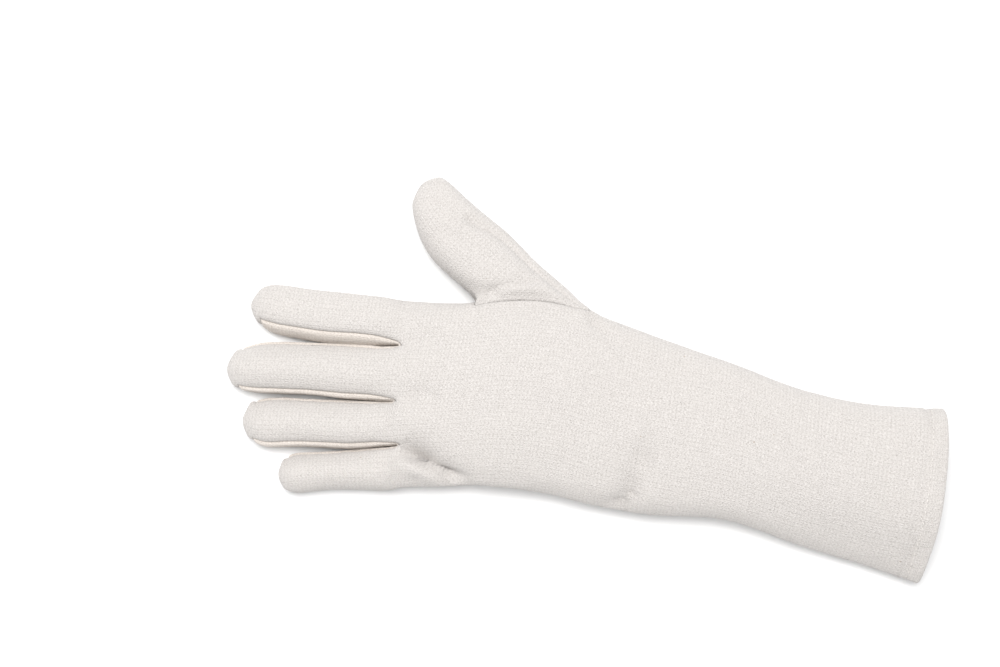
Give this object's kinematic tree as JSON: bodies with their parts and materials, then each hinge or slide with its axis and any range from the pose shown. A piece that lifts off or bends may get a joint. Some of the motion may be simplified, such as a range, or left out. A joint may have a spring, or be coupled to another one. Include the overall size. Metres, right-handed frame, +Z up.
{
  "type": "long-cuff cotton work glove",
  "caption": "Left work glove of natural cotton jersey with a long straight cuff, side strips between the fingers and a set-in thumb, open at the cuff and hollow inside.",
  "frame": {"origin": "on the floor under the middle of the glove's bounding box, at the underside of the palm", "axes": "+X along the glove towards the cuff, +Y towards the thumb, +Z up out of the back of the hand"},
  "size_m": [0.347, 0.1658, 0.033],
  "materials": {
    "cotton_body": "matte unbleached cotton jersey, fine knit",
    "cotton_thumb": "matte unbleached cotton jersey, fine knit",
    "cotton_strips": "matte unbleached cotton jersey, fine knit",
    "cotton_hem": "matte unbleached cotton jersey, turned in and stitched"
  },
  "bodies": {
    "root": {"trank": "cotton_body", "cuff": "cotton_body", "thumb": "cotton_thumb", "fourchette_index_middle": "cotton_strips", "fourchette_middle_ring": "cotton_strips", "fourchette_ring_little": "cotton_strips", "cuff_hem": "cotton_hem"}
  },
  "joints": []
}
